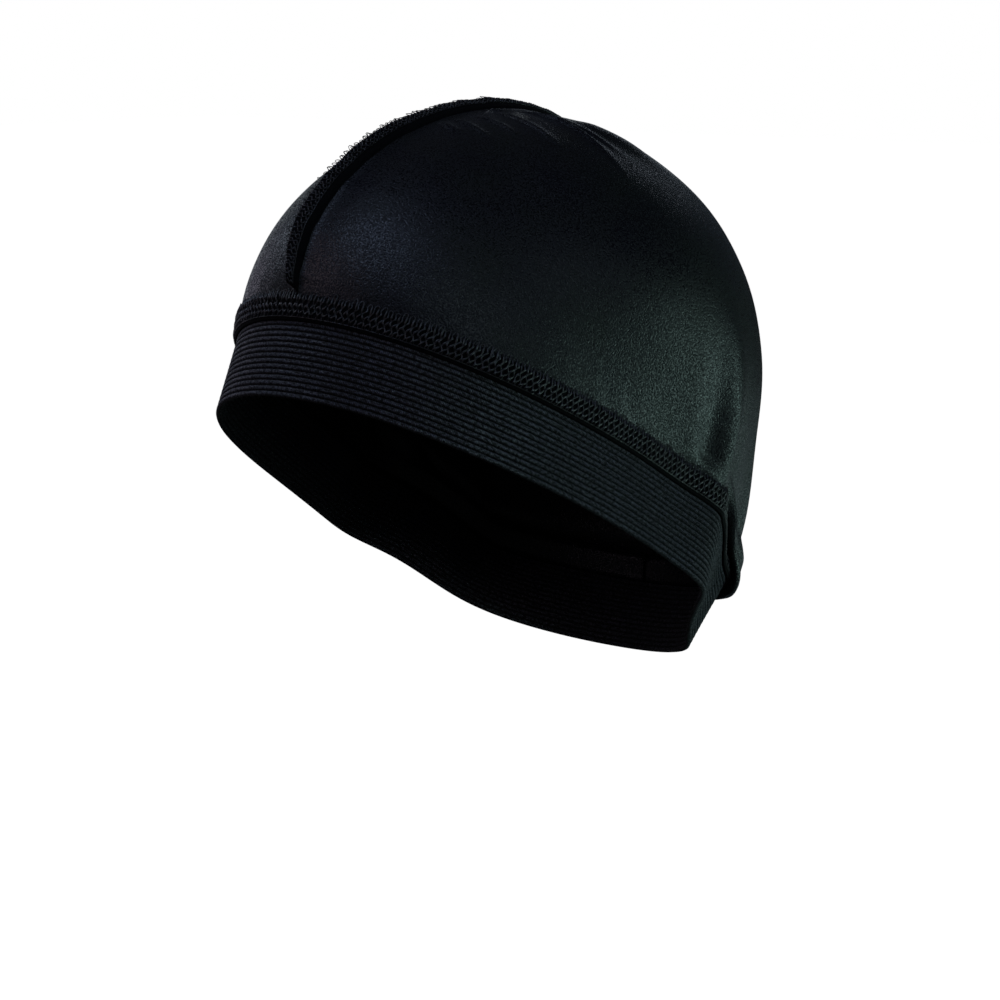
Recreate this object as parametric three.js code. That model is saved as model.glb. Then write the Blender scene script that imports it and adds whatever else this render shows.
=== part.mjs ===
// Stretch satin dome cap, worn inside out: two satin half domes, a serged centre seam that stands
// outside as a fin, a ribbed elastic band, and the serged ring that joins the band to the crown.
// Millimetres. +Z is up, -Y is the front over the forehead and +X is the wearer's left.
// The origin is on the head's upright axis, midway in height between the band's lowest edge at the
// forehead and at the nape. The cap has the form that it keeps on a head.

import * as THREE from 'three';

// Driving dimensions
const BAND_WIDTH = 25;
const BAND_THICKNESS = 1.8;
const RIB_COUNT = 14;
const RIB_DEPTH = 0.45;
const SATIN_THICKNESS = 1.0;
const STRIP_WIDTH = 8.5; // crown edge that lies under the serged ring
const STRIP_LEAN_SHARE = 0.5; // the strip leans half as far as the band below it
const STRIP_OUTWARD_SHARE = 0.1; // the same share where the band leans outwards
const CLEARANCE = 0.3; // gap kept between neighbouring pieces
const APEX_Y = 7;
const APEX_Z = 139;
const PARTING_REACH = 8; // how far from the centre seam the panels still make room for it

// Serged ring at the band's upper edge
const RING_BELOW = 1.0; // how far it reaches down over the band
const RING_ABOVE = 8.2; // how far it reaches up over the crown
const RING_THICKNESS = 1.6;
const RING_BEVEL = 0.7;

// Serged fin along the centre seam
const FIN_HEIGHT = 7.4;
const FIN_THICKNESS = 1.8;
const FIN_FRONT_LEAN = 45; // towards the wearer's right, from upright on the crown
const FIN_TOP_LEAN = 62;
const FIN_LEAN_CHANGE = [-60, -10]; // from front to back, where the one lean passes into the other
const FIN_STEM = 0.5; // upright part below the lean
const FIN_FIRST_ROW = 2; // the crown row above the ring where the fin's blade starts at the front
const FIN_LOW_SHARE = 0.4; // height share where the front end is caught under the ring

// The band's lower edge, front to back, the same on both sides: azimuth from the front, plan radius,
// height, and how far the band leans inwards from its lower to its upper edge.
const RIM = [
  { azimuth: 0, radius: 97.5, height: 53.5, lean: 20 },
  { azimuth: 20, radius: 94.5, height: 48.5, lean: 20 },
  { azimuth: 40, radius: 87.5, height: 36, lean: 16 },
  { azimuth: 60, radius: 80.5, height: 21.5, lean: 14 },
  { azimuth: 80, radius: 77.5, height: 6.5, lean: 12 },
  { azimuth: 95, radius: 79.5, height: -6, lean: 8 },
  { azimuth: 105, radius: 81.5, height: -15, lean: -5 },
  { azimuth: 116, radius: 77, height: -23.5, lean: -22 },
  { azimuth: 130, radius: 72.5, height: -36, lean: -30 },
  { azimuth: 150, radius: 77.5, height: -49, lean: -28 },
  { azimuth: 180, radius: 83, height: -56, lean: -26 },
];

// The crown leaves the band's winding outline for the head's oval within the first part of its
// height. The oval's height on the head, and how far the crown swells beyond a round dome.
const HEAD_HALF_WIDTH = 79;
const HEAD_HALF_LENGTH = 91.5;
const HEAD_MIDDLE_Y = 4;
const HEAD_TWIST = 8.5; // degrees by which a column of the crown leans back at the side
const HEAD_REACHED = 40; // elevation where only the head's oval is left
const HEAD = [
  { azimuth: 0, height: 85.5, swell: -0.05 },
  { azimuth: 45, height: 62, swell: -0.15 },
  { azimuth: 90, height: 26.5, swell: 0.32 },
  { azimuth: 135, height: -14, swell: 0.55 },
  { azimuth: 180, height: -25, swell: 0.62 },
];

// Section of the loose cloth behind the ears, from the serged ring's top round to the crown: how far
// out from the wall and how far down along it, and how far out where the cloth only stands out like
// a shelf and doesn't hang over the band.
const POUCH = [
  { out: 0, down: 0, shelf: 0 },
  { out: 1.1, down: -1.2, shelf: 1.1 },
  { out: 2.4, down: -0.2, shelf: 2.3 },
  { out: 2.4, down: 8.5, shelf: 2.6 },
  { out: 2.4, down: 11.8, shelf: 3.0 },
  { out: 3.5, down: 14.0, shelf: 3.9 },
  { out: 4.7, down: 11.8, shelf: 4.8 },
  { out: 4.9, down: 6.5, shelf: 5.3 },
  { out: 5.7, down: 0.5, shelf: 5.7 },
  { out: 4.6, down: -7, shelf: 4.6 },
];
// How far the cloth hangs down at an azimuth, as a share of the section.
const HANG = [
  { azimuth: 110, share: 0 },
  { azimuth: 118, share: 0.06 },
  { azimuth: 126, share: 0.22 },
  { azimuth: 136, share: 0.65 },
  { azimuth: 145, share: 0.86 },
  { azimuth: 165, share: 0.74 },
  { azimuth: 180, share: 0.62 },
];
const HANG_CLEAR = 0.5; // share of hanging from which the cloth is no longer like a shelf
const TUCK = 1.4; // how far the cloth draws in against the band below the ring
const TUCK_DOWN = [10.4, 12.4];
const POUCH_SIDE_ROW = 7; // the row on the pouch's outer side where the fin ends at the back
const POUCH_TOP = 13; // height of the plain crown that the pouch rows share out
const POUCH_START = 110.5; // azimuth where the cloth begins to stand out
const POUCH_FULL = 120;
const POUCH_OUT_FADE = 0.25; // shares of the dome's rows over which the pouch's pull dies away
const POUCH_UP_FADE = 0.13;
const WALL_BEND = [5, 12]; // where the wall below the ring's top turns from the ring to the band

// Dents and swellings of the crown: centre azimuth and elevation, their half widths in degrees,
// and height, negative for a dent.
const DENTS = [
  { azimuth: 112, elevation: 8, across: 6, along: 12, height: -2.5 },
  { azimuth: 128, elevation: 12, across: 13, along: 18, height: 3.4 },
];

// Tension folds that run out from the centre seam over the top, in plan, each a rounded ridge.
const FOLDS = [
  { side: 1, from: [2, -19], to: [15, -24], height: 0.8, width: 3 },
  { side: 1, from: [3, -14], to: [22, -19], height: 0.7, width: 2.5 },
  { side: 1, from: [4, -5], to: [25, -8], height: 0.7, width: 2.5 },
  { side: 1, from: [5, 4], to: [34, 0], height: 0.8, width: 2.5 },
  { side: 1, from: [6, 16], to: [52, 12], height: 1.0, width: 3 },
  { side: 1, from: [20, 19], to: [55, 36], height: 2.0, width: 7 },
  { side: -1, from: [-3, -16], to: [-20, -21], height: 0.7, width: 2.5 },
  { side: -1, from: [-4, -2], to: [-30, -5], height: 0.8, width: 3 },
  { side: -1, from: [-6, 12], to: [-46, 9], height: 1.0, width: 3 },
  { side: -1, from: [-18, 20], to: [-52, 38], height: 1.8, width: 7 },
];
const FOLD_FADE_IN = [-0.1, 0.25]; // shares of a fold's length
const FOLD_FADE_OUT = [0.5, 1.1];
const SMOOTH_FOOT = 4; // degrees of elevation over which dents and folds fade in above the ring

// Facets: azimuth steps of a half ring, and rows of the dome above the pouch.
const AZIMUTH_STEPS = [
  { until: 90, step: 7.5 },
  { until: 135, step: 3.75 },
  { until: 180, step: 5.625 },
];
const DOME_ROWS = 11;
const FIN_ROWS_PER_DOME_ROW = 2;

const radians = THREE.MathUtils.degToRad;
const degrees = THREE.MathUtils.radToDeg;
const UP = new THREE.Vector3(0, 0, 1);

// A smooth curve through the values of a table, level at both ends, so that its mirror image
// carries on without a corner.
function levelEndedSpline(positions, values) {
  const last = positions.length - 1;
  const slope = new Array(last + 1).fill(0);
  const weight = new Array(last + 1).fill(0);
  for (let i = 1; i < last; i += 1) {
    const before = positions[i] - positions[i - 1];
    const after = positions[i + 1] - positions[i];
    const pull = 3 * ((values[i] - values[i - 1]) / before ** 2 + (values[i + 1] - values[i]) / after ** 2);
    const pivot = 2 / before + 2 / after - weight[i - 1] / before;
    weight[i] = 1 / after / pivot;
    slope[i] = (pull - slope[i - 1] / before) / pivot;
  }
  for (let i = last - 1; i > 0; i -= 1) slope[i] -= weight[i] * slope[i + 1];
  return (position) => {
    let i = 0;
    while (i < last - 1 && position > positions[i + 1]) i += 1;
    const span = positions[i + 1] - positions[i];
    const s = (position - positions[i]) / span;
    return values[i] * (1 + 2 * s) * (1 - s) ** 2 + slope[i] * span * s * (1 - s) ** 2
      + values[i + 1] * s * s * (3 - 2 * s) + slope[i + 1] * span * s * s * (s - 1);
  };
}

const { lerp, smoothstep } = THREE.MathUtils;

function column(table, name) {
  return levelEndedSpline(table.map((row) => row.azimuth), table.map((row) => row[name]));
}

const rimRadius = column(RIM, 'radius');
const rimHeight = column(RIM, 'height');
const bandLean = column(RIM, 'lean');
const headHeight = column(HEAD, 'height');
const crownSwell = column(HEAD, 'swell');
const hangShare = column(HANG, 'share');

// Azimuths run from 0 at the front over +X; past 180 they come back on the wearer's right.
const folded = (azimuth) => Math.abs(((azimuth % 360) + 540) % 360 - 180);

function rimPoint(azimuth) {
  const a = radians(azimuth);
  const r = rimRadius(folded(azimuth));
  return new THREE.Vector3(r * Math.sin(a), -r * Math.cos(a), rimHeight(folded(azimuth)));
}

// Axes at the rim: out is level and square to the rim, across lies up the band square to the rim.
function rimAxes(azimuth) {
  const nearby = 0.5;
  const along = rimPoint(azimuth + nearby).sub(rimPoint(azimuth - nearby)).normalize();
  const out = new THREE.Vector3(along.y, -along.x, 0).normalize();
  if (out.dot(rimPoint(azimuth)) < 0) out.negate();
  const across = along.clone().cross(out);
  if (across.z < 0) across.negate();
  return { out, across };
}

// The direction up a leaning strip and the direction square to its face.
function leaned(azimuth, share) {
  const { out, across } = rimAxes(azimuth);
  const lean = radians(bandLean(folded(azimuth)) * share);
  return {
    up: across.clone().multiplyScalar(Math.cos(lean)).addScaledVector(out, -Math.sin(lean)),
    face: out.clone().multiplyScalar(Math.cos(lean)).addScaledVector(across, Math.sin(lean)),
  };
}

function bandPoint(azimuth, upward, outward) {
  const { up, face } = leaned(azimuth, 1);
  return rimPoint(azimuth).addScaledVector(up, upward).addScaledVector(face, outward);
}

function stripShare(azimuth) {
  return bandLean(folded(azimuth)) > 0 ? STRIP_LEAN_SHARE : STRIP_OUTWARD_SHARE;
}

function stripPoint(azimuth, upward, outward) {
  const { up, face } = leaned(azimuth, stripShare(azimuth));
  return bandPoint(azimuth, BAND_WIDTH, 0).addScaledVector(up, upward).addScaledVector(face, outward);
}

// The height over the band where the crown's cloth starts, so that its inner edge clears the band.
function stripStart(azimuth) {
  const turn = radians(bandLean(folded(azimuth)) * (stripShare(azimuth) - 1));
  return CLEARANCE + SATIN_THICKNESS * Math.max(Math.sin(turn), 0);
}

// A place off the wall below the ring's top: down along ring and band, and out from their face.
function wallPoint(azimuth, down, outward) {
  const onRing = stripPoint(azimuth, STRIP_WIDTH - down, outward);
  const onBand = bandPoint(azimuth, BAND_WIDTH + STRIP_WIDTH - down, outward);
  return onRing.lerp(onBand, smoothstep(down, ...WALL_BEND));
}

// The oval of the head that the crown closes over.
function headPoint(azimuth) {
  const a = folded(azimuth);
  const turned = radians(a + HEAD_TWIST * Math.sin(radians(a)));
  return new THREE.Vector3(
    HEAD_HALF_WIDTH * Math.sin(turned) * Math.sign(180 - azimuth),
    HEAD_MIDDLE_Y - HEAD_HALF_LENGTH * Math.cos(turned),
    headHeight(a),
  );
}

// The smooth dome above the serged ring: elevation 0 at the ring's top and 90 at the apex.
function domePoint(azimuth, elevation) {
  const start = stripPoint(azimuth, STRIP_WIDTH, 0)
    .lerp(headPoint(azimuth), smoothstep(elevation, 0, HEAD_REACHED));
  const e = radians(elevation);
  const reach = Math.cos(e) * (1 + crownSwell(folded(azimuth)) * Math.sin(e));
  return new THREE.Vector3(
    start.x * reach,
    APEX_Y + (start.y - APEX_Y) * reach,
    start.z + (APEX_Z - start.z) * Math.sin(e),
  );
}

const bell = (distance, halfWidth) => Math.exp(-((distance / halfWidth) ** 2));

function dentHeight(azimuth, elevation) {
  return DENTS.reduce((sum, dent) => sum + dent.height
    * bell(folded(azimuth) - dent.azimuth, dent.across)
    * bell(elevation - dent.elevation, dent.along), 0);
}

// How high the folds stand at a place in plan. Each fades in at its start and out towards its end.
function foldHeight(side, x, y) {
  let sum = 0;
  for (const fold of FOLDS.filter((row) => row.side === side)) {
    const [dx, dy] = [fold.to[0] - fold.from[0], fold.to[1] - fold.from[1]];
    const length = Math.hypot(dx, dy);
    const along = ((x - fold.from[0]) * dx + (y - fold.from[1]) * dy) / length ** 2;
    const aside = ((x - fold.from[0]) * dy - (y - fold.from[1]) * dx) / length;
    const fade = smoothstep(along, ...FOLD_FADE_IN) * (1 - smoothstep(along, ...FOLD_FADE_OUT));
    sum += fold.height * fade * bell(aside, fold.width);
  }
  return sum;
}

// Rows of a crown panel, from its lower edge to the apex.
function crownRows() {
  const last = POUCH.length - 1;
  const rows = [{ strip: true }];
  POUCH.forEach((section, i) => rows.push({ pouch: i, height: (POUCH_TOP * i) / last }));
  for (let i = 1; i < DOME_ROWS; i += 1) rows.push({ dome: i / DOME_ROWS });
  return rows;
}

function elevationAtHeight(azimuth, height) {
  const start = stripPoint(azimuth, STRIP_WIDTH, 0);
  return degrees(Math.asin(height / (APEX_Z - start.z)));
}

// A point of the crown's outer face before any cloth hangs over, with its dents and folds.
function plainPoint(side, azimuth, elevation) {
  const point = domePoint(azimuth, elevation);
  const centre = new THREE.Vector3(0, APEX_Y, stripPoint(azimuth, STRIP_WIDTH, 0).z);
  const outward = point.clone().sub(centre).normalize();
  const relief = dentHeight(azimuth, elevation) + foldHeight(side, point.x, point.y);
  return point.addScaledVector(outward, smoothstep(elevation, 0, SMOOTH_FOOT) * relief);
}

// The same cloth where it stands out from the wall and hangs over the band.
function hungPoint(azimuth, { out, down, shelf }) {
  const hang = folded(azimuth) > HANG[0].azimuth ? hangShare(folded(azimuth)) : 0;
  const drop = Math.max(down, 0) * hang;
  const reach = lerp(shelf, out, smoothstep(hang, 0, HANG_CLEAR)) - TUCK * smoothstep(drop, ...TUCK_DOWN);
  return wallPoint(azimuth, drop, reach).addScaledVector(UP, Math.max(-down, 0));
}

// A point of the crown's outer face, before the panels are parted at the centre seam. The pouch's
// pull on the plain crown dies away over the rows above it.
function crownPoint(side, azimuth, row) {
  if (row.strip) return stripPoint(azimuth, stripStart(azimuth), 0);
  const lowest = elevationAtHeight(azimuth, POUCH_TOP);
  const inPouch = row.pouch !== undefined;
  const elevation = inPouch ? elevationAtHeight(azimuth, row.height) : lerp(lowest, 90, row.dome);
  const point = plainPoint(side, azimuth, elevation);
  const pulled = inPouch ? point : plainPoint(side, azimuth, lowest);
  const section = inPouch ? POUCH[row.pouch] : POUCH.at(-1);
  const pull = hungPoint(azimuth, section).sub(pulled);
  const loose = smoothstep(folded(azimuth), POUCH_START, POUCH_FULL);
  const { out } = rimAxes(azimuth);
  const outPull = out.clone().multiplyScalar(pull.dot(out));
  const outShare = inPouch ? 1 : 1 - smoothstep(row.dome, 0, POUCH_OUT_FADE);
  const upShare = inPouch ? 1 : 1 - smoothstep(row.dome, 0, POUCH_UP_FADE);
  return point
    .addScaledVector(outPull, loose * outShare)
    .addScaledVector(pull.sub(outPull), loose * upShare);
}

// Parts a panel from the centre seam, and moves it less the further it is from the seam.
const SEAM_HALF_GAP = FIN_THICKNESS / 2 + CLEARANCE;
function parted(side, point) {
  const distance = Math.abs(point.x);
  point.x = side * (distance + SEAM_HALF_GAP * Math.exp(-distance / PARTING_REACH));
  return point;
}

function halfRingAzimuths() {
  const azimuths = [0];
  for (const { until, step } of AZIMUTH_STEPS) {
    while (azimuths.at(-1) < until - step / 2) azimuths.push(azimuths.at(-1) + step);
  }
  return azimuths;
}

const AZIMUTHS = halfRingAzimuths();
const FULL_RING = [...AZIMUTHS, ...AZIMUTHS.slice(1, -1).reverse().map((a) => 360 - a)];

// A closed mesh from points and triangles of point numbers, turned inside out where they wind the
// wrong way.
function solidMesh(name, points, triangles, material) {
  const volume = triangles.reduce((sum, [a, b, c]) => (
    sum + points[a].dot(points[b].clone().cross(points[c]))), 0);
  const order = volume > 0 ? triangles : triangles.map(([a, b, c]) => [a, c, b]);
  const geometry = new THREE.BufferGeometry();
  const places = points.flatMap((point) => [point.x, point.y, point.z]);
  geometry.setAttribute('position', new THREE.Float32BufferAttribute(places, 3));
  geometry.setIndex(order.flat());
  geometry.computeVertexNormals();
  const mesh = new THREE.Mesh(geometry, material);
  mesh.name = name;
  return mesh;
}

const quad = (a, b, c, d) => [[a, b, c], [a, c, d]];

// A ring swept through sections that all have the same number of points.
function sweptRing(name, sections, material) {
  const size = sections[0].length;
  const triangles = [];
  sections.forEach((section, i) => {
    const next = (i + 1) % sections.length;
    for (let k = 0; k < size; k += 1) {
      const l = (k + 1) % size;
      triangles.push(...quad(i * size + k, next * size + k, next * size + l, i * size + l));
    }
  });
  return solidMesh(name, sections.flat(), triangles, material);
}

// A bar swept through sections, closed by a flat cap at each end.
function sweptBar(name, sections, material) {
  const size = sections[0].length;
  const end = (sections.length - 1) * size;
  const triangles = [];
  for (let i = 0; i < sections.length - 1; i += 1) {
    for (let k = 0; k < size; k += 1) {
      const l = (k + 1) % size;
      triangles.push(...quad(i * size + k, (i + 1) * size + k, (i + 1) * size + l, i * size + l));
    }
  }
  for (let k = 1; k < size - 1; k += 1) {
    triangles.push([0, k, k + 1], [end, end + k + 1, end + k]);
  }
  return solidMesh(name, sections.flat(), triangles, material);
}

// One half of the crown: a cloth wall with its outer face on the crown surface.
function crownPanel(name, side, material) {
  const rows = crownRows();
  const outer = AZIMUTHS.flatMap((azimuth) => (
    rows.map((row) => parted(side, crownPoint(side, azimuth, row)))));
  const apex = outer.length;
  outer.push(new THREE.Vector3(side * SEAM_HALF_GAP, APEX_Y, APEX_Z));
  const at = (i, j) => (j < rows.length ? i * rows.length + j : apex);

  const faces = [];
  for (let i = 0; i < AZIMUTHS.length - 1; i += 1) {
    for (let j = 0; j < rows.length - 1; j += 1) {
      faces.push(...quad(at(i, j), at(i + 1, j), at(i + 1, j + 1), at(i, j + 1)));
    }
    faces.push([at(i, rows.length - 1), at(i + 1, rows.length - 1), apex]);
  }

  const normals = outer.map(() => new THREE.Vector3());
  for (const [a, b, c] of faces) {
    const [toB, toC] = [outer[b].clone().sub(outer[a]), outer[c].clone().sub(outer[a])];
    const normal = toB.cross(toC).multiplyScalar(side);
    for (const corner of [a, b, c]) normals[corner].add(normal);
  }
  const inner = outer.map((point, i) => (
    point.clone().addScaledVector(normals[i].normalize(), -SATIN_THICKNESS)));

  const count = outer.length;
  const border = [];
  for (let i = 0; i < AZIMUTHS.length; i += 1) border.push(at(i, 0));
  for (let j = 1; j <= rows.length; j += 1) border.push(at(AZIMUTHS.length - 1, j));
  for (let j = rows.length - 1; j > 0; j -= 1) border.push(at(0, j));
  const triangles = [...faces, ...faces.map(([a, b, c]) => [a + count, c + count, b + count])];
  border.forEach((point, i) => {
    const next = border[(i + 1) % border.length];
    triangles.push(...quad(point, point + count, next + count, next));
  });
  return solidMesh(name, [...outer, ...inner], triangles, material);
}

// The elastic band, with its ribs as ridges along the outer face.
function elasticBand(name, material) {
  const pitch = BAND_WIDTH / RIB_COUNT;
  const sections = FULL_RING.map((azimuth) => {
    const section = [];
    for (let k = 0; k <= RIB_COUNT * 2; k += 1) {
      section.push(bandPoint(azimuth, (k * pitch) / 2, k % 2 === 0 ? -RIB_DEPTH : 0));
    }
    section.push(bandPoint(azimuth, BAND_WIDTH, -BAND_THICKNESS), bandPoint(azimuth, 0, -BAND_THICKNESS));
    return section;
  });
  return sweptRing(name, sections, material);
}

// The serged ring over the joint of the band and the crown.
function sergedRing(name, material) {
  const inside = CLEARANCE;
  const outside = CLEARANCE + RING_THICKNESS;
  const sections = FULL_RING.map((azimuth) => [
    stripPoint(azimuth, -RING_BELOW, inside),
    stripPoint(azimuth, RING_ABOVE, inside),
    stripPoint(azimuth, RING_ABOVE, outside - RING_BEVEL),
    stripPoint(azimuth, RING_ABOVE - RING_BEVEL, outside),
    stripPoint(azimuth, RING_BEVEL - RING_BELOW, outside),
    stripPoint(azimuth, -RING_BELOW, outside - RING_BEVEL),
  ]);
  return sweptRing(name, sections, material);
}

// The centre line of the crown's outer face, front to back, with the fin's height share at each
// point: none under the ring and inside the pouch.
function seamLine() {
  const rows = crownRows();
  const dome = [];
  for (let i = 1; i < DOME_ROWS * FIN_ROWS_PER_DOME_ROW; i += 1) {
    dome.push({ dome: i / (DOME_ROWS * FIN_ROWS_PER_DOME_ROW) });
  }
  const lower = rows.filter((row) => row.dome === undefined);
  const line = (azimuth) => [...lower, ...dome].map((row) => (
    { row, point: crownPoint(1, azimuth, row).setX(0) }));
  const front = line(0);
  const back = line(180).reverse();
  const apex = { row: { dome: 1 }, point: new THREE.Vector3(0, APEX_Y, APEX_Z) };
  const share = ({ row }, isBack) => {
    if (row.strip) return 0;
    if (row.dome !== undefined) return 1;
    const last = POUCH.length - 1;
    if (isBack) return Math.max(row.pouch - POUCH_SIDE_ROW, 0) / (last - POUCH_SIDE_ROW);
    if (row.pouch < FIN_FIRST_ROW) return 0;
    return lerp(FIN_LOW_SHARE, 1, row.pouch / last);
  };
  return [
    ...front.map((entry) => ({ point: entry.point, share: share(entry, false) })),
    { point: apex.point, share: 1 },
    ...back.map((entry) => ({ point: entry.point, share: share(entry, true) })),
  ];
}

// The serged fin: a stem that fills the slot between the panels, and a blade that leans over.
function sergedFin(name, material) {
  const line = seamLine();
  const half = FIN_THICKNESS / 2;
  const sections = line.map(({ point, share }, i) => {
    const lean = radians(lerp(FIN_FRONT_LEAN, FIN_TOP_LEAN, smoothstep(point.y, ...FIN_LEAN_CHANGE)));
    const before = line[Math.max(i - 1, 0)].point;
    const after = line[Math.min(i + 1, line.length - 1)].point;
    const along = after.clone().sub(before).normalize();
    const normal = new THREE.Vector3(0, -along.z, along.y);
    const at = (x, height) => new THREE.Vector3(x, 0, 0).add(point).addScaledVector(normal, height);
    const stem = share > 0 ? FIN_STEM + CLEARANCE : 0;
    const reach = FIN_HEIGHT * share;
    const tip = [-Math.sin(lean) * reach, Math.cos(lean) * reach + stem];
    const rise = [Math.cos(lean) * half, Math.sin(lean) * half].map((v) => v * (share > 0 ? 1 : 0));
    return [
      at(-half, -SATIN_THICKNESS),
      at(half, -SATIN_THICKNESS),
      at(half, stem),
      at(share > 0 ? tip[0] + rise[0] : half, tip[1] + rise[1]),
      at(share > 0 ? tip[0] - rise[0] : -half, tip[1] - rise[1]),
      at(-half, stem),
    ];
  });
  return sweptBar(name, sections, material);
}

const satinMaterial = new THREE.MeshStandardMaterial({ color: 0x14151b, roughness: 0.42, metalness: 0 });
const elasticMaterial = new THREE.MeshStandardMaterial({ color: 0x15120f, roughness: 0.85, metalness: 0 });
const threadMaterial = new THREE.MeshStandardMaterial({ color: 0x0e0f14, roughness: 0.7, metalness: 0 });

const cap = new THREE.Group();
cap.name = 'skull_cap';
cap.add(
  crownPanel('crown_panel_left', 1, satinMaterial),
  crownPanel('crown_panel_right', -1, satinMaterial),
  sergedFin('crown_seam', threadMaterial),
  elasticBand('band', elasticMaterial),
  sergedRing('band_seam', threadMaterial),
);

export default cap;
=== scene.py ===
import math

import bpy
import numpy as np
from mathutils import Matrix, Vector


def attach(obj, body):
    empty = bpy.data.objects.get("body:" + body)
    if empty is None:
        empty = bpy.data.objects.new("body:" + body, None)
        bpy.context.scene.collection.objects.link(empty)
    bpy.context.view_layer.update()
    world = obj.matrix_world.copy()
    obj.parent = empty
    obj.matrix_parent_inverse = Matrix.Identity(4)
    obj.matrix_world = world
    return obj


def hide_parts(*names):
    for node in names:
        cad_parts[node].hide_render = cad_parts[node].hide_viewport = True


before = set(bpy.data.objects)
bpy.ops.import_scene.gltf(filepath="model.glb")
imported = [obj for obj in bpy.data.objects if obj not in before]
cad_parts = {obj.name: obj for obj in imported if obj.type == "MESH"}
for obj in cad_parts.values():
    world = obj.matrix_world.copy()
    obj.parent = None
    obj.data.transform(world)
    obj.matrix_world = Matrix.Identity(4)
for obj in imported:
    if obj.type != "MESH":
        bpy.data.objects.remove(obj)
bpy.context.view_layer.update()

MM = 0.001
rng = np.random.default_rng(11)

# The cap's main sizes, as in the solids
BAND_WIDTH = 25
BAND_THICKNESS = 1.8
RIB_COUNT = 14
RIB_PITCH = BAND_WIDTH / RIB_COUNT
STRIP_WIDTH = 8.5
STRIP_LEAN_SHARE = 0.5  # how much of the band's lean the ring and the cloth under it keep
STRIP_OUTWARD_SHARE = 0.1  # the same share where the band leans outwards
STRIP_START = 0.6  # height over the band where the crown's cloth starts under the ring
APEX_Y = 7
APEX_Z = 139
HEAD_HALF_WIDTH = 79
HEAD_HALF_LENGTH = 91.5
HEAD_MIDDLE_Y = 4
HEAD_TWIST = 8.5
HEAD_REACHED = 40

# azimuth, plan radius, height and inward lean of the band's lower edge
RIM = [
    (0, 97.5, 53.5, 20),
    (20, 94.5, 48.5, 20),
    (40, 87.5, 36, 16),
    (60, 80.5, 21.5, 14),
    (80, 77.5, 6.5, 12),
    (95, 79.5, -6, 8),
    (105, 81.5, -15, -5),
    (116, 77, -23.5, -22),
    (130, 72.5, -36, -30),
    (150, 77.5, -49, -28),
    (180, 83, -56, -26),
]

# azimuth, height of the head's oval, and swell of the crown beyond a round dome
HEAD = [
    (0, 85.5, -0.05),
    (45, 62, -0.15),
    (90, 26.5, 0.32),
    (135, -14, 0.55),
    (180, -25, 0.62),
]

# Section of the loose cloth behind the ears, from the ring's top round to the crown: out from the
# wall, down along it, and out where the cloth only stands out like a shelf and doesn't hang
POUCH = [
    (0, 0, 0),
    (1.1, -1.2, 1.1),
    (2.4, -0.2, 2.3),
    (2.4, 8.5, 2.6),
    (2.4, 11.8, 3.0),
    (3.5, 14.0, 3.9),
    (4.7, 11.8, 4.8),
    (4.9, 6.5, 5.3),
    (5.7, 0.5, 5.7),
    (4.6, -7, 4.6),
]
POUCH_LAST = len(POUCH) - 1
POUCH_STEPS_EACH = 8  # how finely the section is read between its rows
POUCH_SIDE_ROW = 7  # the section's row from which the fin grows at the back
POUCH_TOP = 13  # height over the ring where the section ends
POUCH_START = 110.5
POUCH_FULL = 120
# azimuth and how far the cloth hangs down there, as a share of the section
HANG = [
    (110, 0),
    (118, 0.06),
    (126, 0.22),
    (136, 0.65),
    (145, 0.86),
    (165, 0.74),
    (180, 0.62),
]
HANG_START = HANG[0][0]
HANG_CLEAR = 0.5  # share of hanging from which the cloth is no longer like a shelf
TUCK = 1.4  # how far the cloth draws in against the band below the ring
TUCK_DOWN = (10.4, 12.4)
POUCH_FADE = 0.25
POUCH_UP_FADE = 0.13
WALL_BEND = (5, 12)  # where the wall below the pouch turns from the ring's lean to the band's

# azimuth, elevation, half width across and along in degrees, height
DENTS = [
    (112, 8, 6, 12, -2.5),
    (128, 12, 13, 18, 3.4),
    (96, 5, 3.7, 16, -3.3),
]

# side, from and to in plan, height, half width
FOLDS = [
    (1, (1, -22), (14, -25), 1.0, 1.0),
    (1, (3, -16), (22, -19), 0.95, 0.7),
    (1, (6, -7), (27, -10), 0.95, 0.7),
    (1, (6, 2), (39, -4), 1.0, 0.75),
    (1, (8, 12), (55, 10), 1.1, 0.75),
    (1, (20, 11), (51, 18), 0.65, 0.75),
    (1, (26, 15), (55, 36), 1.7, 4),
    (-1, (-3, -16), (-20, -21), 0.7, 1.3),
    (-1, (-4, -2), (-30, -5), 0.8, 1.6),
    (-1, (-6, 12), (-46, 9), 1.0, 1.8),
    (-1, (-18, 20), (-52, 38), 1.8, 6),
]
FOLD_SLOPE = 2.4  # how much wider a fold runs out on its back side than on its steep front
FOLD_FADE_IN = (-0.1, 0.25)
FOLD_FADE_OUT = (0.5, 1.1)
SMOOTH_FOOT = 4

# Details that only the looks have
SATIN_THICKNESS = 0.5
SEAM_HALF_GAP = 0.62
PARTING_REACH = 5
TURN_UP = 0.9  # how far the cloth turns up into the centre seam
TURN_UP_REACH = 1.1
MM_PER_DEGREE = 1.5  # along the rim, roughly
RELIEF_FOOT = 3
GATHER_HEIGHT = 0.1
GATHER_PERIOD = 8
GATHER_FADE = 9
GATHER_SEED = 20
PUCKER_HEIGHT = 0.3
PUCKER_PERIOD = 9
PUCKER_REACH = 5
PUCKER_SEED = 30
SWAY_HEIGHT = 0.35
SWAY_RISE = 25
WAVE_PERIOD_SPREAD = (0.7, 1.5)
WAVE_PHASES = (0, 6.3)
WAVE_PEAK = 1.2
TINY = 1e-6


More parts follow.
